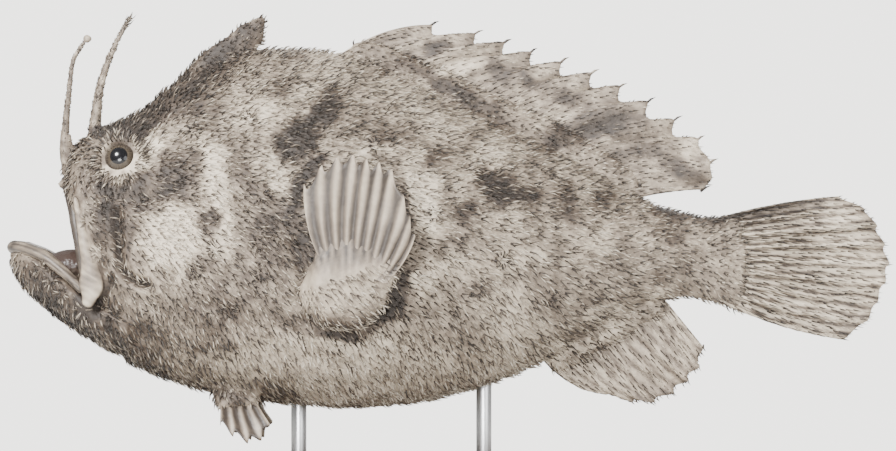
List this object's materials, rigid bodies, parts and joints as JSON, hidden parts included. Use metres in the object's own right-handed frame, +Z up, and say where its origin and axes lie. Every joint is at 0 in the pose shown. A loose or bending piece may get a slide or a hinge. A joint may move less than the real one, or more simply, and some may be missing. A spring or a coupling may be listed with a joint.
{
  "type": "prickly frogfish display model",
  "caption": "Still life-size frogfish with a bristly coat, hump back, lure spine, hand-like fins and fan tail, held over a flat base by two short rods.",
  "frame": {"origin": "underside of the stand's base, below the middle of the fish's length", "axes": "-X towards the mouth, +X towards the tail, -Y the fish's left side, +Z up"},
  "size_m": [0.15, 0.06, 0.0861],
  "materials": {
    "coat": "matte prickly skin, warm grey brown with dark brown blotches",
    "bare_skin": "smooth pale skin, satin",
    "fin_skin": "thin ribbed skin, matte, dark spots",
    "eye": "wet gloss, dark pupil in a brown iris",
    "stand_wood": "satin varnished walnut",
    "stand_steel": "fine brushed"
  },
  "bodies": {
    "root": {"head": "coat", "lower_jaw": "coat", "upper_jaw": "bare_skin", "maxilla_left": "bare_skin", "maxilla_right": "bare_skin", "eye_left": "eye", "eye_right": "eye", "illicium": "bare_skin", "second_dorsal_spine": "coat", "third_dorsal_spine": "coat", "torso": "coat", "tail": "coat", "dorsal_fin": "fin_skin", "anal_fin": "fin_skin", "caudal_fin": "fin_skin", "pectoral_arm_left": "coat", "pectoral_fin_left": "fin_skin", "pelvic_fin_left": "fin_skin", "pectoral_arm_right": "coat", "pectoral_fin_right": "fin_skin", "pelvic_fin_right": "fin_skin", "stand_base": "stand_wood", "stand_rod_front": "stand_steel", "stand_rod_rear": "stand_steel"}
  },
  "joints": []
}
